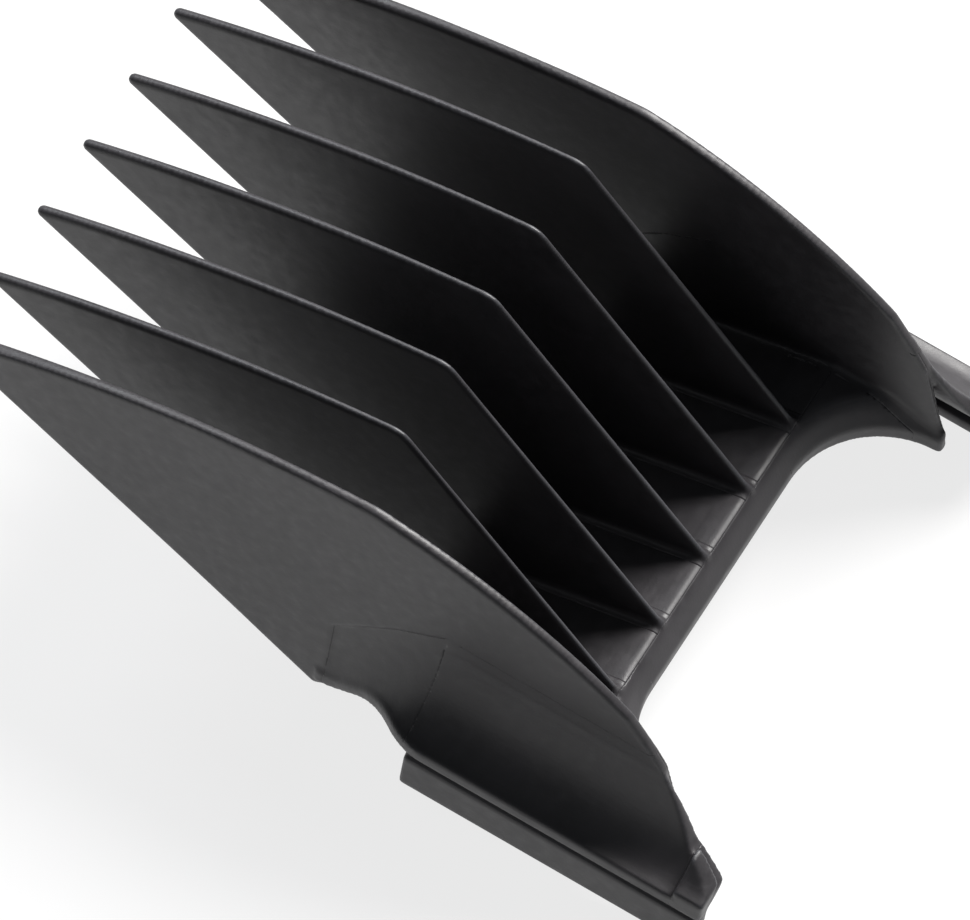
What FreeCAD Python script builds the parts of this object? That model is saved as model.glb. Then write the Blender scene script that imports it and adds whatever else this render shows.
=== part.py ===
import FreeCAD, Part
import math
import os

# Slide-on guide comb for a hair clipper, in millimetres.
# The comb is drawn with its slide direction along +Y (tooth tips at Y = 0, arm ends at the rear),
# +Z up, and X = 0 on the plane of symmetry.  At the end every piece is tipped back by REST_TILT,
# so that the comb sits as it does on a table: on its seven heel corners and its two rail ends.

Vector = FreeCAD.Vector

# ---- driving dimensions ------------------------------------------------------------------------
TOOTH_COUNT = 7            # five inner teeth and the two side walls
PITCH = 6.6                # centre to centre
TOOTH_T = 0.5              # inner tooth thickness, from the web to the rear
TIP_T = 0.9                # and at its tip
WALL_T = 0.9               # side wall thickness
WALL_TAPER = 0.65          # how far a side wall's outer face leans in towards its tip
WALL_LEAN = 0.6            # and its inner face
TAPER_Y = 38.0             # where those tapers start
TOOTH_BREAK = 0.14         # bevel along the skin edge of an inner tooth
HALF_SPAN = PITCH * (TOOTH_COUNT - 1) / 2.0
WALL_OUT = HALF_SPAN + 0.3
WALL_IN = WALL_OUT - WALL_T

TIP_Y = -0.45
TIP_Z = 20.15              # height of the tooth tips above the heel corners
TIP_R = 0.45               # rounding of a tip, seen from the side
HEEL_Y = 33.4              # heel corner, the lowest point, at Z = 0
KNEE = (34.0, 32.1)        # where the two edges of an inner tooth would cross
KNEE_R = 1.8
TOP_MID = (12.8, 26.2)     # a point on the bowed skin edge
TOOTH_END = (54.9, 11.4)   # where an inner tooth runs out on the rim

WEB_FRONT_Y = 37.2         # front edge of the web
WEB_SLOPE = 0.36           # fall of the web towards the front
WEB_T = 1.8
RIM_Y = 56.4               # rear edge of the rim, across the cutout
RIM_DROP = 2.0             # fall of the bevel towards the cutout
RIM_BOTTOM = 7.7
CUT_R = 8.3                # corner radius of the cutout
CUT_HALF = 18.7            # half width of the cutout between the arms
CUT_Y = RIM_Y + CUT_R

RIDGE_X = 25.25            # outer edge of the shoulder and outer face of the rail
RIDGE_Z = 10.3
LIP_H = 1.5                # height of the shoulder's outer edge
SHOULDER_TOP = 19.2        # where the cove leaves the side wall
NOSE_Y = (34.2, 39.2, 43.2)
HOLLOW_TOP = (1.2, 10.4, 17.6)   # top of the hollow under the shoulder at those places
INNER_T = 0.6              # inner wall below the side wall, down to the web
INNER_REAR = (63.6, 12.0)  # a corner of its rear edge
ARM_END_Y = 69.0
RAIL_BOTTOM = 3.9
RAIL_T = 1.6
GROOVE = 0.5               # height of the line between shoulder edge and rail
STOP_T = 2.6               # end stop of the finger scoop
STOP_RISE = 1.0

REST_TILT = math.degrees(math.atan2(RAIL_BOTTOM, ARM_END_Y - HEEL_Y))

# Upper outline of a side wall: two bows that meet at its crest, then the arm's sloping rear edge.
ARCH = [(18.6, 28.3), (35.5, 31.7), (47.4, 28.7), (58.4, 22.5)]
REAR = [(60.9, 19.2), (62.9, 16.2), (65.8, 12.4), (ARM_END_Y, RIDGE_Z)]


# ---- helpers -----------------------------------------------------------------------------------
def at_x(x, point):
    return Vector(x, point[0], point[1])


def face_of(edges):
    return Part.Face(Part.Wire(edges))


def lines(points):
    return [Part.makeLine(points[i], points[i + 1]) for i in range(len(points) - 1)]


def prism_x(edges, x0, x1):
    """Solid between two X planes, from edges drawn on the plane X = x0."""
    return face_of(edges).extrude(Vector(x1 - x0, 0, 0))


def prism_y(points, y0, y1):
    """Solid between two Y planes, from (x, z) points."""
    ring = [Vector(x, y0, z) for x, z in points]
    return face_of(lines(ring + ring[:1])).extrude(Vector(0, y1 - y0, 0))


def long_edges(solid, x_mid, test):
    """The long edges of a plate that run along one of its two sides and pass the test."""
    picked = []
    for edge in solid.Edges:
        c = edge.CenterOfMass
        if edge.Length > 1.0 and abs(c.x - x_mid) > 0.05 and test(c):
            picked.append(edge)
    return picked


def single(shape):
    """The one solid that a cut or bevel leaves."""
    if len(shape.Solids) != 1:
        raise ValueError("expected one solid, found %d" % len(shape.Solids))
    return shape.Solids[0]


def mirrored(solid):
    return solid.mirror(Vector(0, 0, 0), Vector(1, 0, 0))


def web_top(y):
    return TOOTH_END[1] - WEB_SLOPE * (TOOTH_END[0] - y)


def tip_edges(x):
    """Rounded tip: start on the skin edge, end on the lower edge."""
    top = at_x(x, (TIP_Y + 0.35, TIP_Z + TIP_R + 0.1))
    nose = at_x(x, (TIP_Y, TIP_Z))
    low = at_x(x, (TIP_Y + 0.42, TIP_Z - TIP_R))
    return top, Part.Arc(top, nose, low).toShape(), low


def circle_through(a, b, c):
    """Centre and radius of the circle through three (y, z) points."""
    d = 2.0 * (a[0] * (b[1] - c[1]) + b[0] * (c[1] - a[1]) + c[0] * (a[1] - b[1]))
    sa, sb, sc = (p[0] ** 2 + p[1] ** 2 for p in (a, b, c))
    y = (sa * (b[1] - c[1]) + sb * (c[1] - a[1]) + sc * (a[1] - b[1])) / d
    z = (sa * (c[0] - b[0]) + sb * (a[0] - c[0]) + sc * (b[0] - a[0])) / d
    return (y, z), math.hypot(a[0] - y, a[1] - z)


def knee_blend(start):
    """Round that is tangent to the bowed skin edge and to the straight rear edge.
    Returns its start, middle and end as (y, z) points."""
    centre, radius = circle_through(start, TOP_MID, KNEE)
    along = (TOOTH_END[0] - KNEE[0], TOOTH_END[1] - KNEE[1])
    length = math.hypot(*along)
    u = (along[0] / length, along[1] / length)
    inward = (u[1], -u[0])
    base = (KNEE[0] + inward[0] * KNEE_R, KNEE[1] + inward[1] * KNEE_R)
    rel = (base[0] - centre[0], base[1] - centre[1])
    half = rel[0] * u[0] + rel[1] * u[1]
    rest = rel[0] ** 2 + rel[1] ** 2 - (radius - KNEE_R) ** 2
    t = -half - math.sqrt(half * half - rest)
    mid = (base[0] + u[0] * t, base[1] + u[1] * t)
    out = math.hypot(mid[0] - centre[0], mid[1] - centre[1])
    front = (centre[0] + (mid[0] - centre[0]) * radius / out, centre[1] + (mid[1] - centre[1]) * radius / out)
    rear = (mid[0] - inward[0] * KNEE_R, mid[1] - inward[1] * KNEE_R)
    crown = (front[0] + rear[0] - 2 * mid[0], front[1] + rear[1] - 2 * mid[1])
    size = math.hypot(*crown)
    top = (mid[0] + crown[0] * KNEE_R / size, mid[1] + crown[1] * KNEE_R / size)
    return front, top, rear


# ---- inner teeth -------------------------------------------------------------------------------
def inner_tooth(x_mid):
    x = x_mid - TIP_T / 2.0
    top, tip, low = tip_edges(x)
    knee_front, knee_top, knee_rear = (at_x(x, p) for p in knee_blend((top.y, top.z)))
    under = TOOTH_END[1] - WEB_T
    end = at_x(x, TOOTH_END)
    lower = [low, at_x(x, (HEEL_Y, 0)), at_x(x, (HEEL_Y + 1.0, 0.5)),
             at_x(x, (WEB_FRONT_Y, web_top(WEB_FRONT_Y) - WEB_T)), at_x(x, (TOOTH_END[0], under)), end]
    edges = [tip] + lines(lower) + lines([end, knee_rear])
    edges.append(Part.Arc(knee_rear, knee_top, knee_front).toShape())
    edges.append(Part.Arc(knee_front, at_x(x, TOP_MID), top).toShape())
    solid = prism_x(edges, x, x + TIP_T)
    for side in (-1, 1):
        face, tip_face = x_mid + side * TOOTH_T / 2.0, x_mid + side * TIP_T / 2.0
        ring = [Vector(tip_face, TIP_Y, 0), Vector(face, WEB_FRONT_Y, 0), Vector(face, ARM_END_Y, 0),
                Vector(face + side * 5, ARM_END_Y, 0), Vector(face + side * 5, TIP_Y, 0)]
        solid = single(solid.cut(face_of(lines(ring + ring[:1])).extrude(Vector(0, 0, 40))))
    skin = long_edges(solid, x_mid, lambda c: c.z > 20.5)
    return solid.makeChamfer(TOOTH_BREAK, skin)


# ---- side walls --------------------------------------------------------------------------------
def side_wall():
    x = WALL_IN - WALL_LEAN
    top, tip, low = tip_edges(x)
    arch = [at_x(x, p) for p in ARCH]
    lower = [low, at_x(x, (HEEL_Y, 0)), at_x(x, (NOSE_Y[0], 0.6)), at_x(x, (NOSE_Y[0], 11.0)),
             at_x(x, (NOSE_Y[1], 16.2)), at_x(x, (NOSE_Y[2], SHOULDER_TOP)), at_x(x, REAR[0])]
    edges = [tip] + lines(lower) + lines([at_x(x, REAR[0]), arch[3]])
    edges.append(Part.Arc(arch[3], arch[2], arch[1]).toShape())
    edges.append(Part.Arc(arch[1], arch[0], top).toShape())
    solid = prism_x(edges, x, WALL_OUT)

    outer = [Vector(WALL_OUT, TAPER_Y, 0), Vector(WALL_OUT - WALL_TAPER, TIP_Y, 0),
             Vector(WALL_OUT - WALL_TAPER, TIP_Y - 5, 0), Vector(WALL_OUT + 5, TIP_Y - 5, 0)]
    inner = [Vector(WALL_IN, ARM_END_Y, 0), Vector(WALL_IN, WEB_FRONT_Y, 0), Vector(WALL_IN - WALL_LEAN, TIP_Y, 0),
             Vector(WALL_IN - 5, TIP_Y, 0), Vector(WALL_IN - 5, ARM_END_Y, 0)]
    for ring in (outer, inner):
        solid = single(solid.cut(face_of(lines(ring + ring[:1])).extrude(Vector(0, 0, 40))))
    return solid


# ---- shoulders: the coved shells that carry the rails ------------------------------------------
def cove(top, low, count=9):
    """Quarter-ellipse from the wall (top) out to the ridge (low), as (x, z) points."""
    points = []
    for i in range(count):
        a = math.radians(90.0 * i / (count - 1))
        points.append((low[0] - (low[0] - top[0]) * math.cos(a), top[1] - (top[1] - low[1]) * math.sin(a)))
    return points


def shell_section(top_z, top_x, ridge, lip, inner_top, inner_low):
    outer = cove((top_x, top_z), ridge)
    inner = cove((WALL_IN + INNER_T, inner_top), inner_low)
    return [(WALL_IN, top_z)] + outer + [(ridge[0], ridge[1] - lip)] + inner[::-1] + [(WALL_IN, inner_top)]


def shoulder_section():
    low = (RIDGE_X - RAIL_T, RIDGE_Z - LIP_H)
    return shell_section(SHOULDER_TOP, WALL_OUT, (RIDGE_X, RIDGE_Z), LIP_H, HOLLOW_TOP[2], low)


def rear_cutter():
    """Everything above and behind the sloping rear edge of an arm."""
    points = [at_x(0, p) for p in REAR]
    points += [at_x(0, (ARM_END_Y + 5, RIDGE_Z)), at_x(0, (ARM_END_Y + 5, 30)), at_x(0, (REAR[0][0], 30))]
    return prism_x(lines(points + points[:1]), 0, 40)


def shoulder():
    return prism_y(shoulder_section(), NOSE_Y[2], ARM_END_Y).cut(rear_cutter())


def shoulder_nose():
    """Front of the shoulder, where its lip climbs from the heel and sweeps out to the ridge."""
    sections = [shell_section(11.0, WALL_OUT - 0.5, (WALL_OUT, 2.3), 1.7, HOLLOW_TOP[0], (19.9, 0.6)),
                shell_section(16.2, WALL_OUT - 0.15, (21.9, 8.2), 1.6, HOLLOW_TOP[1], (20.3, 6.6)),
                shoulder_section()]
    wires = []
    for y, section in zip(NOSE_Y, sections):
        ring = [Vector(x, y, z) for x, z in section]
        wires.append(Part.Wire(lines(ring + ring[:1])))
    return Part.makeLoft(wires, True, True)


def inner_wall():
    """Thin wall that carries the side wall on down to the web and the rim, inside the shoulder's hollow."""
    under = TOOTH_END[1] - WEB_T
    points = [(NOSE_Y[0], 0.6), (WEB_FRONT_Y, web_top(WEB_FRONT_Y) - WEB_T), (TOOTH_END[0], under),
              (TOOTH_END[0], RIM_BOTTOM), (CUT_Y, RIM_BOTTOM), INNER_REAR, (REAR[0][0] + 1.0, HOLLOW_TOP[2]),
              (NOSE_Y[2], HOLLOW_TOP[2]), (NOSE_Y[1], HOLLOW_TOP[1]), (NOSE_Y[0], HOLLOW_TOP[0])]
    ring = [at_x(WALL_IN, p) for p in points]
    return prism_x(lines(ring + ring[:1]), WALL_IN, WALL_IN + INNER_T)


def end_stop():
    """Raised pad that closes the finger scoop at the arm's rear end."""
    outer = cove((WALL_OUT, SHOULDER_TOP), (RIDGE_X, RIDGE_Z))
    inner = cove((WALL_OUT + STOP_RISE, SHOULDER_TOP), (RIDGE_X, RIDGE_Z + STOP_RISE))
    pad = prism_y(outer + inner[::-1], ARM_END_Y - STOP_T, ARM_END_Y)
    lifted = [(y, z + STOP_RISE) for y, z in REAR]
    points = [at_x(0, p) for p in lifted]
    points += [at_x(0, (ARM_END_Y + 5, lifted[-1][1])), at_x(0, (ARM_END_Y + 5, 30)), at_x(0, (lifted[0][0], 30))]
    return pad.cut(prism_x(lines(points + points[:1]), 0, 40))


# ---- rails -------------------------------------------------------------------------------------
def rail():
    top = RIDGE_Z - LIP_H
    inner = RIDGE_X - RAIL_T
    neck = RIDGE_X - 0.4
    section = [(inner, top), (neck, top), (neck, top - GROOVE), (RIDGE_X, top - GROOVE),
               (RIDGE_X, RAIL_BOTTOM), (inner, RAIL_BOTTOM)]
    return prism_y(section, NOSE_Y[2] + 0.3, ARM_END_Y)


def guide_rib():
    """Rib inside the rail that runs in the side groove of the clipper body."""
    inner = RIDGE_X - RAIL_T
    section = [(inner, 4.7), (inner, 6.7), (inner - 0.9, 6.3), (inner - 0.9, 5.1)]
    return prism_y(section, NOSE_Y[2] + 1.8, ARM_END_Y - 1.2)


# ---- web and rim -------------------------------------------------------------------------------
def web_panel(x0, x1):
    front = web_top(WEB_FRONT_Y)
    rear = TOOTH_END[0]
    points = [at_x(x0, (WEB_FRONT_Y, front - WEB_T)), at_x(x0, (rear, TOOTH_END[1] - WEB_T)),
              at_x(x0, (rear, TOOTH_END[1])), at_x(x0, (WEB_FRONT_Y + 0.5, front + 0.18)),
              at_x(x0, (WEB_FRONT_Y, front - 0.3))]
    return prism_x(lines(points + points[:1]), x0, x1)


def rim_bar():
    half = CUT_HALF - CUT_R
    front = TOOTH_END[0]
    points = [at_x(-half, (front, RIM_BOTTOM)), at_x(-half, (RIM_Y, RIM_BOTTOM)),
              at_x(-half, (RIM_Y, TOOTH_END[1] - RIM_DROP)), at_x(-half, (front, TOOTH_END[1]))]
    return prism_x(lines(points + points[:1]), -half, half)


def rim_corner():
    """Gusset between rim and arm, hollowed by the cutout's corner and its bevel."""
    half = CUT_HALF - CUT_R
    front = TOOTH_END[0]
    height = TOOTH_END[1] - RIM_BOTTOM
    block = Part.makeBox(WALL_IN - half, CUT_Y - front, height, Vector(half, front, RIM_BOTTOM))
    centre = Vector(half, CUT_Y, RIM_BOTTOM)
    hole = Part.makeCylinder(CUT_R, height, centre)
    band = RIM_Y - front
    bevel_base = Vector(half, CUT_Y, TOOTH_END[1] - RIM_DROP)
    bevel = Part.makeCone(CUT_R, CUT_R + band, RIM_DROP, bevel_base)
    return block.cut(hole).cut(bevel)


# ---- assembly ----------------------------------------------------------------------------------
pieces = {}
for number in range(1, TOOTH_COUNT - 1):
    pieces["tooth_%d" % number] = inner_tooth(-HALF_SPAN + number * PITCH)

edges_x = [-WALL_IN]
for number in range(1, TOOTH_COUNT - 1):
    middle = -HALF_SPAN + number * PITCH
    edges_x += [middle - TOOTH_T / 2.0, middle + TOOTH_T / 2.0]
edges_x.append(WALL_IN)
for number in range(TOOTH_COUNT - 1):
    pieces["web_panel_%d" % (number + 1)] = web_panel(edges_x[2 * number], edges_x[2 * number + 1])

pieces["rim_bar"] = rim_bar()
sided = {"side_wall": side_wall(), "shoulder": shoulder(), "shoulder_nose": shoulder_nose(),
         "end_stop": end_stop(), "rail": rail(), "guide_rib": guide_rib(),
         "rim_corner": rim_corner(), "inner_wall": inner_wall()}
for name, solid in sided.items():
    pieces[name + "_right"] = solid
    pieces[name + "_left"] = mirrored(solid)
pieces = {name: single(shape) for name, shape in pieces.items()}

# Tip the comb back on to its rail ends, then centre it over the origin.
heel = Vector(0, HEEL_Y, 0)
for solid in pieces.values():
    solid.rotate(heel, Vector(1, 0, 0), -REST_TILT)
whole = Part.makeCompound(list(pieces.values()))
box = whole.optimalBoundingBox(False, False)
shift = Vector(0, -(box.YMin + box.YMax) / 2.0, -box.ZMin)
os.makedirs("parts", exist_ok=True)
total = 0.0
moment = Vector(0, 0, 0)
for name in sorted(pieces):
    solid = pieces[name]
    solid.translate(shift)
    total += solid.Volume
    moment += solid.CenterOfMass * solid.Volume
    solid.exportStep("parts/%s.step" % name)
    print("%-22s %9.2f mm3  valid %s  solids %d" % (name, solid.Volume, solid.isValid(), len(solid.Solids)))
print("size %.2f x %.2f x %.2f" % (box.XLength, box.YLength, box.ZLength))
print("volume %.1f, centre of mass y %.2f, heel y %.2f" % (total, moment.y / total, heel.y + shift.y))
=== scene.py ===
"""Guide comb of a hair clipper: one satin black moulding, shown on white card.

The comb is drawn in millimetres along its slide direction (tooth tips at Y = 0, arm ends at the rear)
as one signed distance field, so that every crease gets the small radius a moulding has.  The field is
turned into a mesh, cut into the same named pieces as the CAD, tipped back to its resting attitude and
moved into the row frame.
"""
import math

import bpy
import numpy as np
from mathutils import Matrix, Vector


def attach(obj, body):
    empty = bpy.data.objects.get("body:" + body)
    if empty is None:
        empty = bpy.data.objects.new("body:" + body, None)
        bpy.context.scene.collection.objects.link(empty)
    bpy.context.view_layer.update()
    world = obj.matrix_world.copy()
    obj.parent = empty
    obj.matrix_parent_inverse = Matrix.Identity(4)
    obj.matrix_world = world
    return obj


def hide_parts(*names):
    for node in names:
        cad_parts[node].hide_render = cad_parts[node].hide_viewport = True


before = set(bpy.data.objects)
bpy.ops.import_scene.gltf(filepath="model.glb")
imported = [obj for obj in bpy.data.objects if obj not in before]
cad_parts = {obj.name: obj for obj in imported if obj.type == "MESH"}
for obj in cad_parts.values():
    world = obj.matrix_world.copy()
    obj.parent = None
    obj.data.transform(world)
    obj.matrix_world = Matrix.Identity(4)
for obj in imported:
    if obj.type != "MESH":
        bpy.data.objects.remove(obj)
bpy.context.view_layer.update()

# ---- sizes, in millimetres ------------------------------------------------------------------------
PITCH = 6.6
TOOTH_HALF, TIP_HALF = 0.25, 0.45
WALL_IN, WALL_OUT, WALL_TAPER, WALL_LEAN, TAPER_Y = 19.2, 20.1, 0.65, 0.6, 38.0
WALL_R = 0.36              # round along the free edges of the walls
TIP_Y, TIP_Z, TIP_R = -0.45, 20.15, 0.45
HEEL_Y = 33.4
KNEE, KNEE_R = (34.0, 32.1), 1.8
TOP_MID = (12.8, 26.2)
TOOTH_END = (54.9, 11.4)
WEB_FRONT_Y, WEB_SLOPE, WEB_T = 37.2, 0.36, 1.8
RIM_Y, RIM_DROP, RIM_BOTTOM = 56.4, 2.0, 7.7
CUT_R, CUT_HALF, CUT_Y = 8.3, 18.7, 64.7
RIDGE_X, RIDGE_Z, LIP_H, SHOULDER_TOP = 25.25, 10.3, 1.5, 19.2
NOSE_Y, NOSE_SOFT = (34.2, 39.2, 43.2), 1.6
SCOOP_TOP = (11.0, 16.2, SHOULDER_TOP)        # upper edge of the finger scoop at those places
HOLLOW_TOP = (1.2, 10.4, 17.6)                # top of the arm's hollow at the same places
HOLLOW_LOW_X = (19.9, 20.3)                   # and its lower outer corner at the first two of them
HOLLOW_LOW_Z = (0.6, 6.6)
INNER_T, INNER_REAR = 0.6, (63.6, 12.0)       # the thin wall inside the hollow
ARM_END_Y, RAIL_BOTTOM, RAIL_T, GROOVE, GROOVE_D = 69.0, 3.9, 1.6, 0.5, 0.4
STOP_T, STOP_RISE, STOP_R = 2.6, 1.0, 0.25
RAIL_R = 0.2               # round at the rail's two ends
RIB_D, RIB_ROOT, RIB_TIP = 0.9, (4.7, 6.7), (5.1, 6.3)      # depth; low and high Z at root and tip
ARCH = [(18.6, 28.3), (35.5, 31.7), (47.4, 28.7), (58.4, 22.5)]
REAR = [(60.9, 19.2), (62.9, 16.2), (65.8, 12.4), (ARM_END_Y, RIDGE_Z)]
REST_TILT = math.atan2(RAIL_BOTTOM, ARM_END_Y - HEEL_Y)

STEP = 0.2                 # spacing of the distance field
FILLET = 0.45              # size of the round where a tooth or wall meets the web
SOFTEN = 0.14              # blur of the field
OVERLAP = 0.3              # how far the web runs into its neighbours
RIM_FACE = (2.0, 2.4)      # lean of the rim's front face, inside the web, as rise and run
TOOTH_REACH = 2.4          # how far round a tooth's middle its field is worked out
RIM_SOFT = 0.9             # roundness of the ridge between web and rim
KEEP = 0.3                 # share of the raw mesh's faces kept


# ---- outlines -------------------------------------------------------------------------------------
def circle_through(a, b, c):
    """Centre and radius of the circle through three points."""
    d = 2 * (a[0] * (b[1] - c[1]) + b[0] * (c[1] - a[1]) + c[0] * (a[1] - b[1]))
    sa, sb, sc = (p[0] ** 2 + p[1] ** 2 for p in (a, b, c))
    y = (sa * (b[1] - c[1]) + sb * (c[1] - a[1]) + sc * (a[1] - b[1])) / d
    z = (sa * (c[0] - b[0]) + sb * (a[0] - c[0]) + sc * (b[0] - a[0])) / d
    return (y, z), math.hypot(a[0] - y, a[1] - z)


def arc(a, b, c, count):
    """Points from a through b to c on one circle, with c left out."""
    (y, z), radius = circle_through(a, b, c)
    turn = [math.atan2(p[1] - z, p[0] - y) for p in (a, b, c)]
    sweep = (turn[2] - turn[0]) % (2 * math.pi)
    if (turn[1] - turn[0]) % (2 * math.pi) > sweep:
        sweep -= 2 * math.pi
    return [(y + radius * math.cos(turn[0] + sweep * i / count),
             z + radius * math.sin(turn[0] + sweep * i / count)) for i in range(count)]


def knee_blend(start):
    """Start, crown and end of the round between the bowed skin edge and the straight rear edge."""
    centre, radius = circle_through(start, TOP_MID, KNEE)
    along = (TOOTH_END[0] - KNEE[0], TOOTH_END[1] - KNEE[1])
    length = math.hypot(*along)
    u = (along[0] / length, along[1] / length)
    inward = (u[1], -u[0])
    base = (KNEE[0] + inward[0] * KNEE_R, KNEE[1] + inward[1] * KNEE_R)
    rel = (base[0] - centre[0], base[1] - centre[1])
    half = rel[0] * u[0] + rel[1] * u[1]
    t = -half - math.sqrt(half * half - rel[0] ** 2 - rel[1] ** 2 + (radius - KNEE_R) ** 2)
    mid = (base[0] + u[0] * t, base[1] + u[1] * t)
    out = math.hypot(mid[0] - centre[0], mid[1] - centre[1])
    front = tuple(centre[i] + (mid[i] - centre[i]) * radius / out for i in (0, 1))
    rear = tuple(mid[i] - inward[i] * KNEE_R for i in (0, 1))
    crown = tuple(front[i] + rear[i] - 2 * mid[i] for i in (0, 1))
    size = math.hypot(*crown)
    return front, tuple(mid[i] + crown[i] * KNEE_R / size for i in (0, 1)), rear


def web_top(y):
    """Height of the web's upper face."""
    return TOOTH_END[1] - WEB_SLOPE * (TOOTH_END[0] - y)


TIP_TOP = (TIP_Y + 0.35, TIP_Z + TIP_R + 0.1)
TIP_LOW = (TIP_Y + 0.42, TIP_Z - TIP_R)


def tooth_outline():
    """Fin from the tip over the knee to its rear end in the web, and back along its straight lower edge."""
    front, crown, rear = knee_blend(TIP_TOP)
    mid_web = web_top(WEB_FRONT_Y + 1.0) - WEB_T / 2
    points = arc(TIP_LOW, (TIP_Y, TIP_Z), TIP_TOP, 8) + arc(TIP_TOP, TOP_MID, front, 48)
    points += arc(front, crown, rear, 16)
    points += [rear, TOOTH_END, (TOOTH_END[0] - 0.2, TOOTH_END[1] - WEB_T / 2)]
    points += [(WEB_FRONT_Y + 1.0, mid_web), (WEB_FRONT_Y, web_top(WEB_FRONT_Y) - WEB_T)]
    return points + [(HEEL_Y + 1.0, 0.5), (HEEL_Y, 0.0)]


def wall_outline():
    """Side wall with the thinner wall under it, down to the web and the rim."""
    points = arc(TIP_LOW, (TIP_Y, TIP_Z), TIP_TOP, 8) + arc(TIP_TOP, ARCH[0], ARCH[1], 48)
    points += arc(ARCH[1], ARCH[2], ARCH[3], 40) + [ARCH[3], REAR[0], (REAR[0][0] + 1.0, HOLLOW_TOP[2])]
    points += [INNER_REAR, (CUT_Y, RIM_BOTTOM), (TOOTH_END[0], RIM_BOTTOM),
               (TOOTH_END[0], TOOTH_END[1] - WEB_T), (WEB_FRONT_Y, web_top(WEB_FRONT_Y) - WEB_T)]
    return points + [(NOSE_Y[0], 0.6), (HEEL_Y, 0.0)]


def cove(top, low, count=20):
    """Quarter-ellipse from the wall out to the ridge."""
    turn = [math.pi / 2 * i / (count - 1) for i in range(count)]
    return [(low[0] - (low[0] - top[0]) * math.cos(a), top[1] - (top[1] - low[1]) * math.sin(a))
            for a in turn]


# ---- the distance field ---------------------------------------------------------------------------
XS = (np.arange(132) + 0.5) * STEP                 # the right half; the left is its mirror image
YS = -1.5 + np.arange(360) * STEP
ZS = -1.1 + np.arange(174) * STEP
field = np.full((len(XS), len(YS), len(ZS)), 5.0, np.float32)


def outline_distance(points, us, vs):
    """Signed distance from a closed outline, negative inside, on the grid us by vs."""
    u, v = np.meshgrid(us, vs, indexing="ij")
    near = np.full(u.shape, 1e9)
    inside = np.zeros(u.shape, bool)
    for (u0, v0), (u1, v1) in zip(points, points[1:] + points[:1]):
        du, dv = u1 - u0, v1 - v0
        t = np.clip(((u - u0) * du + (v - v0) * dv) / max(du * du + dv * dv, 1e-12), 0, 1)
        near = np.minimum(near, (u - u0 - du * t) ** 2 + (v - v0 - dv * t) ** 2)
        if dv:
            inside ^= ((v0 > v) != (v1 > v)) & (u < du * (v - v0) / dv + u0)
    return np.where(inside, -1.0, 1.0) * np.sqrt(near)


def rounded(a, b, radius):
    """Where two half-spaces overlap, with their shared edge rounded."""
    a, b = a + radius, b + radius
    return np.minimum(np.maximum(a, b), 0) + np.hypot(np.maximum(a, 0), np.maximum(b, 0)) - radius


def span(axis, low, high):
    """The stretch of a grid axis from low to high, as a slice."""
    return slice(int(np.searchsorted(axis, low)), int(np.searchsorted(axis, high)))


def add(part, xs=slice(None), ys=slice(None), zs=slice(None), fillet=0.0):
    """Unite a part with the field, with a round of about the given size in the crease."""
    here = field[xs, ys, zs]
    part = np.broadcast_to(part, here.shape)
    joined = np.minimum(here, part)
    if fillet:
        joined = joined - np.maximum(fillet - np.abs(here - part), 0) ** 2 / (4 * fillet)
    field[xs, ys, zs] = joined


def add_web():
    """Floor between the teeth, rounded down into the rim at its rear end."""
    front = web_top(WEB_FRONT_Y)
    y, z = TOOTH_END
    points = [(WEB_FRONT_Y, front - WEB_T), (y + OVERLAP, z - WEB_T), (y + OVERLAP, z - 0.9),
              (y - 0.6, z - 0.4), (y - 1.2, web_top(y - 1.2)),
              (WEB_FRONT_Y + 0.5, front + 0.18), (WEB_FRONT_Y, front - 0.3)]
    profile = outline_distance(points, YS, ZS)[None]
    add(np.maximum(profile, XS[:, None, None] - WALL_IN - OVERLAP))


def add_rim():
    """Bevelled rim round the cutout: its top falls towards the opening, along straight and corners alike."""
    x, y = np.meshgrid(XS, YS, indexing="ij")
    px, py = x - (CUT_HALF - CUT_R), CUT_Y - y
    away = np.hypot(np.maximum(px, 0), np.maximum(py, 0)) + np.minimum(np.maximum(px, py), 0) - CUT_R
    band = RIM_Y - TOOTH_END[0]
    z = ZS[None, None, :]
    bevel, flat = TOOTH_END[1] - RIM_DROP + RIM_DROP * away / band, np.minimum(TOOTH_END[1], web_top(y))
    top = np.minimum(bevel, flat) - np.maximum(RIM_SOFT - np.abs(bevel - flat), 0) ** 2 / (4 * RIM_SOFT)
    across = band / math.hypot(band, RIM_DROP)
    part = np.maximum(-away[:, :, None], (z - top[:, :, None]) * across)
    part = np.maximum(part, RIM_BOTTOM - z)
    front = (TOOTH_END[0] - YS)[None, :, None] * RIM_FACE[0] - (z - RIM_BOTTOM) * RIM_FACE[1]
    front = front / math.hypot(*RIM_FACE)
    part = np.maximum(part, front)
    part = np.maximum(part, (x - WALL_IN - OVERLAP)[:, :, None])
    add(np.maximum(part, (y - CUT_Y)[:, :, None]))


def add_teeth():
    """Thin fins, thicker towards their tips, with a fully rounded skin edge."""
    profile = outline_distance(tooth_outline(), YS, ZS)[None]
    forward = np.clip((WEB_FRONT_Y - YS) / (WEB_FRONT_Y - TIP_Y), 0, 1)
    half = (TOOTH_HALF + (TIP_HALF - TOOTH_HALF) * forward)[None, :, None]
    for middle in (0.0, PITCH, 2 * PITCH):
        xs = span(XS, middle - TOOTH_REACH, middle + TOOTH_REACH)
        across = np.abs(XS[xs] - middle)[:, None, None] - half
        add(rounded(profile, across, half * 0.95), xs, fillet=FILLET)


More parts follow.
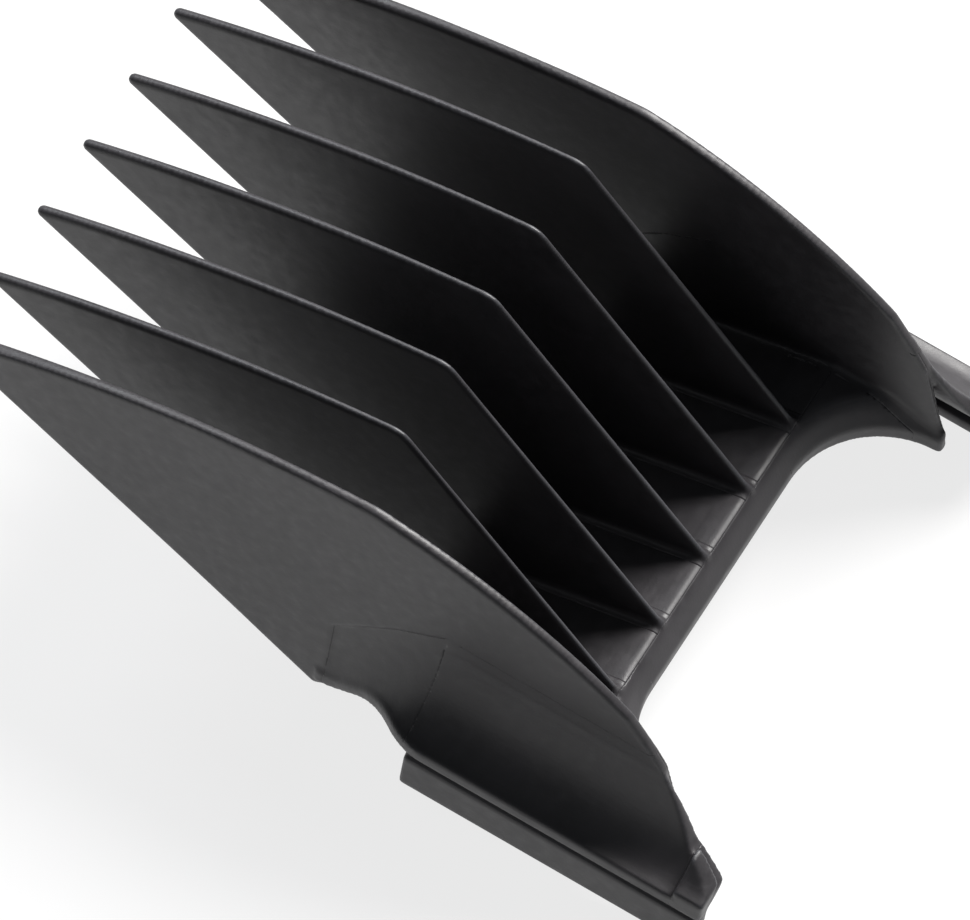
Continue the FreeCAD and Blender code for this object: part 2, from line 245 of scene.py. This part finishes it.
def add_wall():
    """The plate above the finger scoop at full thickness, and the thinner wall below it."""
    profile = outline_distance(wall_outline(), YS, ZS)[None]
    outer = WALL_OUT - WALL_TAPER * np.clip((TAPER_Y - YS) / (TAPER_Y - TIP_Y), 0, 1)
    inner = WALL_IN - WALL_LEAN * np.clip((WEB_FRONT_Y - YS) / (WEB_FRONT_Y - TIP_Y), 0, 1)
    xs = span(XS, WALL_IN - 2.8, WALL_OUT + 2.0)
    x = XS[xs][:, None, None]
    across = np.maximum(inner[None, :, None] - x, x - outer[None, :, None])
    scoop = [(NOSE_Y[0], -9.0), *zip(NOSE_Y, SCOOP_TOP), (90.0, SHOULDER_TOP), (90.0, -9.0)]
    above = -outline_distance(scoop, YS, ZS)[None]
    plate = np.maximum(rounded(profile, across, WALL_R), above)
    below = np.maximum(profile, np.maximum(WALL_IN - x, x - WALL_IN - INNER_T))
    add(np.minimum(plate, below), xs, fillet=FILLET)


def shell_outline(y):
    """Section of an arm across the slide direction: cove, lip and hollow."""
    def at(*values):
        """A size at y, from its values at the NOSE_Y places."""
        return float(np.interp(y + NOSE_SOFT * np.linspace(-1, 1, 9), NOSE_Y, values).mean())
    top = (at(WALL_OUT - 0.5, WALL_OUT - 0.15, WALL_OUT), at(*SCOOP_TOP))
    ridge = (at(WALL_OUT, 21.9, RIDGE_X), at(2.3, 8.2, RIDGE_Z))
    lip = at(1.7, 1.6, LIP_H)
    hollow = cove((WALL_IN + INNER_T, at(*HOLLOW_TOP)),
                  (at(*HOLLOW_LOW_X, RIDGE_X - RAIL_T), at(*HOLLOW_LOW_Z, RIDGE_Z - LIP_H)))
    outer = cove(top, ridge)
    points = [(WALL_IN + 0.2, top[1] + 1.0), (top[0], top[1] + 1.0)] + outer + [(ridge[0], ridge[1] - lip)]
    return points + hollow[::-1] + [(WALL_IN + 0.2, at(*HOLLOW_TOP))]


def rear_limit(rise):
    """Outline of everything in front of an arm's sloping rear edge, with that edge lifted by rise."""
    y, z = REAR[0]
    points = [(y, z + rise) for y, z in REAR]
    points += [(ARM_END_Y, -8.0), (20.0, -8.0), (20.0, 40.0)]
    return points + [(y - 8.0, 40.0), (y - 1.8, z + 2.4)]


def add_arm():
    """Coved shell, end stop, rail and guide rib."""
    xs, ys, zs = span(XS, 16.0, 30.0), span(YS, NOSE_Y[0] - 0.8, 72.0), span(ZS, -2.0, 24.0)
    sections = {}
    shell = np.empty((len(XS[xs]), len(YS[ys]), len(ZS[zs])))
    for i, y in enumerate(YS[ys]):
        key = round(float(np.clip(y, NOSE_Y[0], NOSE_Y[2] + NOSE_SOFT)), 3)
        if key not in sections:
            sections[key] = outline_distance(shell_outline(key), XS[xs], ZS[zs])
        shell[:, i, :] = sections[key]
    y = YS[ys][None, :, None]
    limit = outline_distance(rear_limit(0.0), YS[ys], ZS[zs])[None]
    shell = np.maximum(np.maximum(shell, limit), (NOSE_Y[0] - 0.8) - y)
    add(shell, xs, ys, zs)

    outer = cove((WALL_OUT, SHOULDER_TOP), (RIDGE_X, RIDGE_Z - 0.5))
    raised = cove((WALL_OUT + STOP_RISE, SHOULDER_TOP), (RIDGE_X, RIDGE_Z + STOP_RISE))
    pad = outline_distance(outer + raised[::-1], XS[xs], ZS[zs])[:, None, :]
    pad = np.maximum(pad, outline_distance(rear_limit(STOP_RISE), YS[ys], ZS[zs])[None])
    add(rounded(pad, (ARM_END_Y - STOP_T) - y, STOP_R), xs, ys, zs)

    top, inner, neck = RIDGE_Z - LIP_H, RIDGE_X - RAIL_T, RIDGE_X - GROOVE_D
    points = [(inner, top + 0.6), (neck, top + 0.6), (neck, top - GROOVE), (RIDGE_X, top - GROOVE),
              (RIDGE_X, RAIL_BOTTOM), (inner, RAIL_BOTTOM)]
    rail = outline_distance(points, XS[xs], ZS[zs])[:, None, :]
    ends = np.maximum(NOSE_Y[2] + 0.3 - y, y - ARM_END_Y)
    add(rounded(rail, ends, RAIL_R), xs, ys, zs)

    points = [(inner + 0.6, RIB_ROOT[0]), (inner + 0.6, RIB_ROOT[1]), (inner, RIB_ROOT[1])]
    points += [(inner - RIB_D, RIB_TIP[1]), (inner - RIB_D, RIB_TIP[0]), (inner, RIB_ROOT[0])]
    rib = outline_distance(points, XS[xs], ZS[zs])[:, None, :]
    add(np.maximum(rib, np.maximum(NOSE_Y[2] + 1.8 - y, y - ARM_END_Y + 1.2)), xs, ys, zs)


def soften(values, sigma):
    """Blur the field a little, which rounds every remaining crease."""
    reach = max(1, int(3 * sigma / STEP))
    weights = np.exp(-0.5 * (np.arange(-reach, reach + 1) * STEP / sigma) ** 2)
    weights /= weights.sum()
    for axis in range(3):
        padded = np.pad(values, [(reach, reach) if a == axis else (0, 0) for a in range(3)], mode="edge")
        if axis == 0:
            padded[:reach] = values[:reach][::-1]          # the mirror plane
        total = np.zeros_like(values)
        for i, w in enumerate(weights):
            part = [slice(None)] * 3
            part[axis] = slice(i, i + values.shape[axis])
            total += np.float32(w) * padded[tuple(part)]
        values = total
    return values


# ---- mesh from the field --------------------------------------------------------------------------
def corner_values(values, cells):
    """The field's value at the eight corners of each cell."""
    i, j, k = cells
    return {(a, b, c): values[i + a, j + b, k + c] for a in (0, 1) for b in (0, 1) for c in (0, 1)}


def sample(values, places, origin):
    """Value and gradient of the field at places, by linear interpolation inside each cell."""
    at = (places - origin) / STEP
    cell = np.clip(np.floor(at).astype(int), 0, np.array(values.shape) - 2)
    f = (at - cell).T
    v = corner_values(values, cell.T)
    value = np.zeros(len(places))
    slope = np.zeros((3, len(places)))
    for corner, held in v.items():
        w = [f[a] if corner[a] else 1 - f[a] for a in range(3)]
        value += held * w[0] * w[1] * w[2]
        for a in range(3):
            b, c = (a + 1) % 3, (a + 2) % 3
            slope[a] += held * w[b] * w[c] * (1 if corner[a] else -1)
    return value, slope.T / STEP


def surface(values, origin):
    """Surface net of the field's zero level: one point per crossed cell, one quad per crossed grid edge."""
    inside = values < 0
    count = np.zeros(tuple(n - 1 for n in values.shape), np.uint8)
    for a in (0, 1):
        for b in (0, 1):
            for c in (0, 1):
                count += inside[a:a + count.shape[0], b:b + count.shape[1], c:c + count.shape[2]]
    cells = np.nonzero((count > 0) & (count < 8))
    number = np.full(count.shape, -1, np.int32)
    number[cells] = np.arange(len(cells[0]))
    v = corner_values(values, cells)
    total = np.zeros((len(cells[0]), 3))
    hits = np.zeros(len(cells[0]))
    for a in range(3):
        b, c = (a + 1) % 3, (a + 2) % 3
        for p in (0, 1):
            for q in (0, 1):
                start, end = [0, 0, 0], [0, 0, 0]
                end[a] = 1
                start[b] = end[b] = p
                start[c] = end[c] = q
                v0, v1 = v[tuple(start)], v[tuple(end)]
                crossed = (v0 < 0) != (v1 < 0)
                t = np.where(crossed, v0 / np.where(crossed, v0 - v1, 1), 0)
                total[:, a] += np.where(crossed, t, 0)
                total[:, b] += crossed * p
                total[:, c] += crossed * q
                hits += crossed
    places = origin + (np.stack(cells, 1) + total / hits[:, None]) * STEP
    for _ in range(3):
        value, slope = sample(values, places, origin)
        move = value[:, None] * slope / np.maximum((slope ** 2).sum(1), 0.25)[:, None]
        places -= np.clip(move, -0.3 * STEP, 0.3 * STEP)
    quads = []
    for a in range(3):
        b, c = (a + 1) % 3, (a + 2) % 3
        low = [slice(None)] * 3
        high = [slice(None)] * 3
        low[a], high[a] = slice(0, -1), slice(1, None)
        for s in (low, high):
            s[b] = s[c] = slice(1, -1)
        first, second = inside[tuple(low)], inside[tuple(high)]
        where = np.nonzero(first != second)
        base = [None, None, None]
        base[a], base[b], base[c] = where[a], where[b] + 1, where[c] + 1
        ring = []
        for p, q in ((-1, -1), (0, -1), (0, 0), (-1, 0)):
            index = [None, None, None]
            index[a], index[b], index[c] = base[a], base[b] + p, base[c] + q
            ring.append(number[tuple(index)])
        ring = np.stack(ring, 1)
        flip = ~first[where]
        ring[flip] = ring[flip][:, ::-1]
        quads.append(ring)
    return places, np.concatenate(quads)


def new_object(name, points, faces):
    mesh = bpy.data.meshes.new(name)
    mesh.from_pydata(points, [], faces)
    obj = bpy.data.objects.new(name, mesh)
    bpy.context.scene.collection.objects.link(obj)
    return obj


def quad_object(name, points, quads):
    """A mesh of quads from arrays, much faster than from lists."""
    mesh = bpy.data.meshes.new(name)
    mesh.vertices.add(len(points))
    mesh.vertices.foreach_set("co", points.astype(np.float32).ravel())
    mesh.loops.add(quads.size)
    mesh.loops.foreach_set("vertex_index", quads.astype(np.int32).ravel())
    mesh.polygons.add(len(quads))
    mesh.polygons.foreach_set("loop_start", np.arange(0, quads.size, 4, dtype=np.int32))
    mesh.update(calc_edges=True)
    obj = bpy.data.objects.new(name, mesh)
    bpy.context.scene.collection.objects.link(obj)
    return obj


def applied(obj):
    """The object's mesh with its modifiers applied."""
    graph = bpy.context.evaluated_depsgraph_get()
    return bpy.data.meshes.new_from_object(obj.evaluated_get(graph))


add_web()
add_rim()
add_teeth()
add_wall()
add_arm()
field = soften(field, SOFTEN)
both = np.concatenate([field[::-1], field])
CORNER = np.array([-XS[-1], YS[0], ZS[0]])
points, quads = surface(both, CORNER)
whole = quad_object("whole", points, quads)
whole.modifiers.new("thin", "DECIMATE").ratio = KEEP
whole.data = applied(whole)
whole.modifiers.clear()


# ---- named pieces ---------------------------------------------------------------------------------
WEB_CUT = 0.95             # a tooth's piece reaches this far to each side, past its fillets
SIDE_CUT = 18.4            # the side wall's piece starts here
WALL_MID = WALL_IN + INNER_T / 2
ARM_X = 21.0               # outside this, an arm's pieces end above the rail
FAR = 90.0                 # well past the comb in any direction


def prism(polygon, axis, low, high):
    """A block with the given polygon across an axis (0 for X, 1 for Y) from low to high."""
    order = {0: lambda p, s: (s, p[0], p[1]), 1: lambda p, s: (p[0], s, p[1])}[axis]
    n = len(polygon)
    turning = sum(p[0] * q[1] - q[0] * p[1] for p, q in zip(polygon, polygon[1:] + polygon[:1]))
    if (turning > 0) != (axis == 0):                   # keeps the block's faces turned outwards
        polygon = polygon[::-1]
    points = [order(p, s) for s in (low, high) for p in polygon]
    faces = [list(range(n))[::-1], list(range(n, 2 * n))]
    faces += [[i, (i + 1) % n, n + (i + 1) % n, n + i] for i in range(n)]
    return new_object("block", points, faces)


def rectangle(y0, y1, z0, z1):
    return [(y0, z0), (y1, z0), (y1, z1), (y0, z1)]


FRONT = rectangle(-FAR, TOOTH_END[0], -FAR, FAR)
BEHIND = rectangle(TOOTH_END[0], FAR, -FAR, FAR)
NOSE_LINE = list(zip(NOSE_Y, SCOOP_TOP))
RAIL_TOP = RIDGE_Z - LIP_H
ABOVE_RAIL = [(WALL_MID, -FAR), (ARM_X, -FAR), (ARM_X, RAIL_TOP), (FAR, RAIL_TOP),
              (FAR, SHOULDER_TOP), (WALL_MID, SHOULDER_TOP)]
RIB_X = RIDGE_X - RAIL_T - 0.25
STOP_Y = ARM_END_Y - STOP_T

regions = {
    "tooth_3": (FRONT, 0, -WEB_CUT, WEB_CUT),
    "web_panel_4": (FRONT, 0, WEB_CUT, PITCH - WEB_CUT),
    "tooth_4": (FRONT, 0, PITCH - WEB_CUT, PITCH + WEB_CUT),
    "web_panel_5": (FRONT, 0, PITCH + WEB_CUT, 2 * PITCH - WEB_CUT),
    "tooth_5": (FRONT, 0, 2 * PITCH - WEB_CUT, 2 * PITCH + WEB_CUT),
    "web_panel_6": (FRONT, 0, 2 * PITCH + WEB_CUT, SIDE_CUT),
    "rim_bar": (BEHIND, 0, -(CUT_HALF - CUT_R), CUT_HALF - CUT_R),
    "rim_corner_right": (BEHIND, 0, CUT_HALF - CUT_R, SIDE_CUT),
    "side_wall_right": ([(-FAR, -FAR), (NOSE_Y[0], -FAR)] + NOSE_LINE
                        + [(FAR, SHOULDER_TOP), (FAR, FAR), (-FAR, FAR)], 0, SIDE_CUT, FAR),
    "inner_wall_right": ([(NOSE_Y[0], -FAR)] + NOSE_LINE + [(FAR, SHOULDER_TOP), (FAR, -FAR)],
                         0, SIDE_CUT, WALL_MID),
    "shoulder_nose_right": ([(NOSE_Y[0], -FAR), (NOSE_Y[2], -FAR)] + NOSE_LINE[::-1],
                            0, WALL_MID, FAR),
    "shoulder_right": (ABOVE_RAIL, 1, NOSE_Y[2], STOP_Y),
    "end_stop_right": (ABOVE_RAIL, 1, STOP_Y, FAR),
    "rail_right": (rectangle(NOSE_Y[2], FAR, -FAR, RAIL_TOP), 0, RIB_X, FAR),
    "guide_rib_right": (rectangle(NOSE_Y[2], FAR, -FAR, RAIL_TOP), 0, ARM_X, RIB_X),
}
MIRROR = {"tooth_4": "tooth_2", "tooth_5": "tooth_1", "web_panel_4": "web_panel_3",
          "web_panel_5": "web_panel_2", "web_panel_6": "web_panel_1"}

tilt_c, tilt_s = math.cos(REST_TILT), math.sin(REST_TILT)
CUT_DOT, CUT_DEPTH = 0.35, 0.03    # a face is a hidden cut if it lies across the skin and this deep below it


def turned(vectors):
    """Vectors of the drawing, tipped back to the resting attitude."""
    x, y, z = vectors.T
    return np.stack([x, y * tilt_c + z * tilt_s, z * tilt_c - y * tilt_s], 1)


def read(items, name, width, kind=np.float32):
    held = np.empty(len(items) * width, kind)
    items.foreach_get(name, held)
    return held.reshape(-1, width)


def area_normals(mesh):
    """Vertex normals weighted by face area, which keeps flats flat next to small rounds."""
    mesh.calc_loop_triangles()
    corners = read(mesh.loop_triangles, "vertices", 3, np.int32)
    co = read(mesh.vertices, "co", 3)
    a, b, c = (co[corners[:, i]] for i in range(3))
    cross = np.cross(b - a, c - a)
    total = np.zeros_like(co)
    for i in range(3):
        np.add.at(total, corners[:, i], cross)
    return total


def unit(vectors):
    return vectors / np.maximum(np.linalg.norm(vectors, axis=1), 1e-12)[:, None]


def convexity(mesh, normals):
    """How far each vertex stands out from its neighbours, 0 on a flat and near 1 on a sharp edge."""
    ends = read(mesh.edges, "vertices", 2, np.int32)
    co = read(mesh.vertices, "co", 3)
    along = unit(co[ends[:, 1]] - co[ends[:, 0]])
    pull = np.zeros_like(co)
    count = np.zeros(len(co))
    for side, sign in ((0, 1), (1, -1)):
        np.add.at(pull, ends[:, side], sign * along)
        np.add.at(count, ends[:, side], 1)
    return -(pull * unit(normals)).sum(1) / np.maximum(count, 1)


def cut_out(region):
    """The part of the whole moulding inside a region, as a closed mesh."""
    block = prism(*region)
    cut = whole.modifiers.new("cut", "BOOLEAN")
    cut.operation, cut.object, cut.solver = "INTERSECT", block, "MANIFOLD"
    mesh = applied(whole)
    whole.modifiers.clear()
    bpy.data.objects.remove(block)
    return mesh


def add_piece(name, mesh, mirrored, material):
    """Put a cut piece in the row frame, with the whole moulding's own shading across the cuts."""
    mesh = mesh.copy()
    side = np.array([-1.0 if mirrored else 1.0, 1.0, 1.0])
    depth = sample(both, read(mesh.polygons, "center", 3).astype(float), CORNER)[0]
    co = read(mesh.vertices, "co", 3).astype(float) * side - [0, HEEL_Y, 0]
    co = turned(co) + [0, HEEL_Y - SHIFT_Y, 0]
    mesh.vertices.foreach_set("co", (co / 1000).astype(np.float32).ravel())
    skin = unit(turned(read(mesh.attributes["skin"].data, "vector", 3) * side))
    if mirrored:
        mesh.flip_normals()
    mesh.update()
    mesh.attributes.remove(mesh.attributes["skin"])
    flat = read(mesh.polygons, "normal", 3)
    sizes = read(mesh.polygons, "loop_total", 1, np.int32)[:, 0]
    owner = np.repeat(np.arange(len(sizes)), sizes)
    smooth = skin[read(mesh.loops, "vertex_index", 1, np.int32)[:, 0]]
    inner = ((smooth * flat[owner]).sum(1) < CUT_DOT) & (depth[owner] < -CUT_DEPTH)
    inner = np.isin(owner, owner[inner])
    mesh.polygons.foreach_set("use_smooth", np.ones(len(sizes), bool))
    mesh.normals_split_custom_set(np.where(inner[:, None], flat[owner], smooth).tolist())
    mesh.materials.clear()
    mesh.materials.append(material)
    piece = bpy.data.objects.new("comb_" + name, mesh)
    bpy.context.scene.collection.objects.link(piece)
    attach(piece, "root")
    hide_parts(name)


# ---- material -------------------------------------------------------------------------------------
def moulded_plastic():
    """Satin black plastic: fine eroded grain, faint flow marks, and edges painted a little paler and bluer,
    partly as rubbed wear and partly as a painted highlight.
    """
    material = bpy.data.materials.new("satin_black_moulded")
    material.use_nodes = True
    nodes, links = material.node_tree.nodes, material.node_tree.links
    shader = nodes["Principled BSDF"]
    place = nodes.new("ShaderNodeTexCoord")

    def noise(scale, detail, rough=0.55):
        node = nodes.new("ShaderNodeTexNoise")
        node.inputs["Scale"].default_value = scale
        node.inputs["Detail"].default_value = detail
        node.inputs["Roughness"].default_value = rough
        links.new(place.outputs["Object"], node.inputs["Vector"])
        return node.outputs["Fac"]

    def spread(source, low, high, to_low, to_high):
        node = nodes.new("ShaderNodeMapRange")
        for key, value in (("From Min", low), ("From Max", high), ("To Min", to_low), ("To Max", to_high)):
            node.inputs[key].default_value = value
        links.new(source, node.inputs["Value"])
        return node.outputs["Result"]

    def blend(factor, first, second):
        node = nodes.new("ShaderNodeMix")
        node.data_type = "RGBA"
        links.new(factor, node.inputs["Factor"])
        for socket, value in ((node.inputs[6], first), (node.inputs[7], second)):
            if isinstance(value, tuple):
                socket.default_value = (*value, 1.0)
            else:
                links.new(value, socket)
        return node.outputs[2]

    flow = noise(130.0, 3.0)
    mottle = noise(900.0, 4.0)
    grain = noise(5200.0, 2.0)
    # edges that stand out get a paler, bluer colour: partly rubbed wear, partly a painted highlight for the
    # reflections along the rounded edges
    edge_wear_and_highlight = nodes.new("ShaderNodeAttribute")
    edge_wear_and_highlight.attribute_name = "edge_wear_and_highlight"
    edge = spread(edge_wear_and_highlight.outputs["Fac"], 0.08, 0.45, 0.0, 1.0)
    body = blend(spread(flow, 0.3, 0.7, 0.0, 1.0), (0.0160, 0.0150, 0.0165), (0.0265, 0.0245, 0.0270))
    body = blend(spread(mottle, 0.45, 0.75, 0.0, 0.55), body, (0.031, 0.029, 0.032))
    links.new(blend(edge, body, (0.05, 0.053, 0.06)), shader.inputs["Base Color"])
    links.new(spread(mottle, 0.3, 0.7, 0.40, 0.50), shader.inputs["Roughness"])
    shader.inputs["IOR"].default_value = 1.43

    fine = nodes.new("ShaderNodeBump")
    fine.inputs["Strength"].default_value = 0.22
    fine.inputs["Distance"].default_value = 0.00003
    links.new(grain, fine.inputs["Height"])
    broad = nodes.new("ShaderNodeBump")
    broad.inputs["Strength"].default_value = 0.25
    broad.inputs["Distance"].default_value = 0.00006
    links.new(mottle, broad.inputs["Height"])
    links.new(fine.outputs["Normal"], broad.inputs["Normal"])
    links.new(broad.outputs["Normal"], shader.inputs["Normal"])
    return material


GLOW, GLOW_FAR = 0.79, 0.3         # emission of the card round the comb, and further out
GLOW_FADE = (0.048, 0.13)          # where it fades from one to the other, in metres from the middle
# painted shade: the card's glow is switched off in this rectangle under the comb, in place of the comb's
# shadow
SHADE_Y, SHADE_HALF = -0.005, (0.0145, 0.019)      # the unlit rectangle of card under the comb
SHADE_EDGE = 0.006


def white_card():
    """Matt white card that glows round the comb, less further out, and not at all under it: the glow is
    painted light, and the glowless patch under the comb is painted shade.
    """
    material = bpy.data.materials.new("white_card")
    material.use_nodes = True
    nodes, links = material.node_tree.nodes, material.node_tree.links
    shader = nodes["Principled BSDF"]
    fibres = nodes.new("ShaderNodeTexNoise")
    fibres.inputs["Scale"].default_value = 300.0
    tone = nodes.new("ShaderNodeMapRange")
    tone.inputs["To Min"].default_value = 0.11
    tone.inputs["To Max"].default_value = 0.14
    links.new(fibres.outputs["Fac"], tone.inputs["Value"])
    links.new(tone.outputs["Result"], shader.inputs["Base Color"])
    shader.inputs["Roughness"].default_value = 0.9
    shader.inputs["Emission Color"].default_value = (1.0, 1.0, 1.0, 1.0)
    place = nodes.new("ShaderNodeTexCoord")

    parts = nodes.new("ShaderNodeSeparateXYZ")
    links.new(place.outputs["Object"], parts.inputs["Vector"])

    def maths(operation, first, second):
        node = nodes.new("ShaderNodeMath")
        node.operation = operation
        for socket, value in zip(node.inputs, (first, second)):
            if isinstance(value, float):
                socket.default_value = value
            else:
                links.new(value, socket)
        return node.outputs["Value"]

    def ramp(value, start, end, low, high):
        node = nodes.new("ShaderNodeMapRange")
        node.interpolation_type = "SMOOTHSTEP"
        for key, held in (("From Min", start), ("From Max", end), ("To Min", low), ("To Max", high)):
            node.inputs[key].default_value = held
        links.new(value, node.inputs["Value"])
        return node.outputs["Result"]

    length = nodes.new("ShaderNodeVectorMath")
    length.operation = "LENGTH"
    links.new(place.outputs["Object"], length.inputs[0])
    across = maths("SUBTRACT", maths("ABSOLUTE", parts.outputs["X"], 0.0), SHADE_HALF[0])
    along = maths("ABSOLUTE", maths("ADD", parts.outputs["Y"], -SHADE_Y), 0.0)
    along = maths("SUBTRACT", along, SHADE_HALF[1])
    shade = ramp(maths("MAXIMUM", across, along), -SHADE_EDGE, 0.0, 0.0, 1.0)
    glow = ramp(length.outputs["Value"], *GLOW_FADE, GLOW, GLOW_FAR)
    links.new(maths("MULTIPLY", shade, glow), shader.inputs["Emission Strength"])
    return material


# ---- pieces ---------------------------------------------------------------------------------------
SHIFT_Y = 35.98            # from the drawing's origin back to the middle of the comb
whole.data.attributes.new("skin", "FLOAT_VECTOR", "POINT")
skin_normals = area_normals(whole.data)
whole.data.attributes["skin"].data.foreach_set("vector", skin_normals.astype(np.float32).ravel())
# how far each vertex stands out, for the paler edge colour that is partly wear and partly painted highlight
whole.data.attributes.new("edge_wear_and_highlight", "FLOAT", "POINT")
stands_out = convexity(whole.data, skin_normals)
whole.data.attributes["edge_wear_and_highlight"].data.foreach_set("value", stands_out.astype(np.float32))
plastic = moulded_plastic()
for name, region in regions.items():
    mesh = cut_out(region)
    add_piece(name, mesh, False, plastic)
    twin = MIRROR.get(name) or name.replace("_right", "_left")
    if twin != name:
        add_piece(twin, mesh, True, plastic)
bpy.data.objects.remove(whole)

# ---- floor, light and camera ----------------------------------------------------------------------
FLOOR = 4.0                # half the card's side, in metres
floor = new_object("floor", [(-FLOOR, -FLOOR, 0), (FLOOR, -FLOOR, 0), (FLOOR, FLOOR, 0), (-FLOOR, FLOOR, 0)],
                   [(0, 1, 2, 3)])
floor.data.materials.append(white_card())

CENTRE = Vector((0.0027, 0.0023, 0.012))       # what the camera and the lamps point at


def softbox(name, direction, distance, size, power, colour):
    """A round soft lamp that the camera doesn't see."""
    data = bpy.data.lights.new(name, "AREA")
    data.shape, data.size, data.energy, data.color = "DISK", size, power, colour
    lamp = bpy.data.objects.new(name, data)
    away = Vector(direction).normalized()
    lamp.location = CENTRE + away * distance
    lamp.rotation_mode = "QUATERNION"
    lamp.rotation_quaternion = away.to_track_quat("Z", "Y")
    lamp.visible_camera = False
    bpy.context.scene.collection.objects.link(lamp)


softbox("key", (-0.66, 0.12, 0.72), 2.4, 1.5, 180, (1.0, 0.985, 0.97))
softbox("front", (-0.42, -0.62, 0.66), 2.0, 0.9, 22, (0.93, 0.96, 1.0))

world = bpy.data.worlds.new("studio")
world.use_nodes = True
world.node_tree.nodes["Background"].inputs["Color"].default_value = (0.9, 0.95, 1.0, 1.0)
world.node_tree.nodes["Background"].inputs["Strength"].default_value = 0.18
bpy.context.scene.world = world
bpy.context.scene.view_settings.view_transform = "Standard"

AZIMUTH, ELEVATION = math.radians(120.3), math.radians(60.9)
FRAME_WIDTH, LENS, SENSOR = 0.07248, 600.0, 36.0
lens = bpy.data.cameras.new("camera")
lens.lens, lens.sensor_width = LENS, SENSOR
lens.clip_start, lens.clip_end = 0.05, 20.0
camera = bpy.data.objects.new("camera", lens)
bpy.context.scene.collection.objects.link(camera)
bpy.context.scene.camera = camera
back = Vector((math.sin(AZIMUTH) * math.cos(ELEVATION),
               -math.cos(AZIMUTH) * math.cos(ELEVATION),
               math.sin(ELEVATION)))
camera.location = CENTRE + back * FRAME_WIDTH * LENS / SENSOR
camera.rotation_mode = "QUATERNION"
camera.rotation_quaternion = back.to_track_quat("Z", "Y")
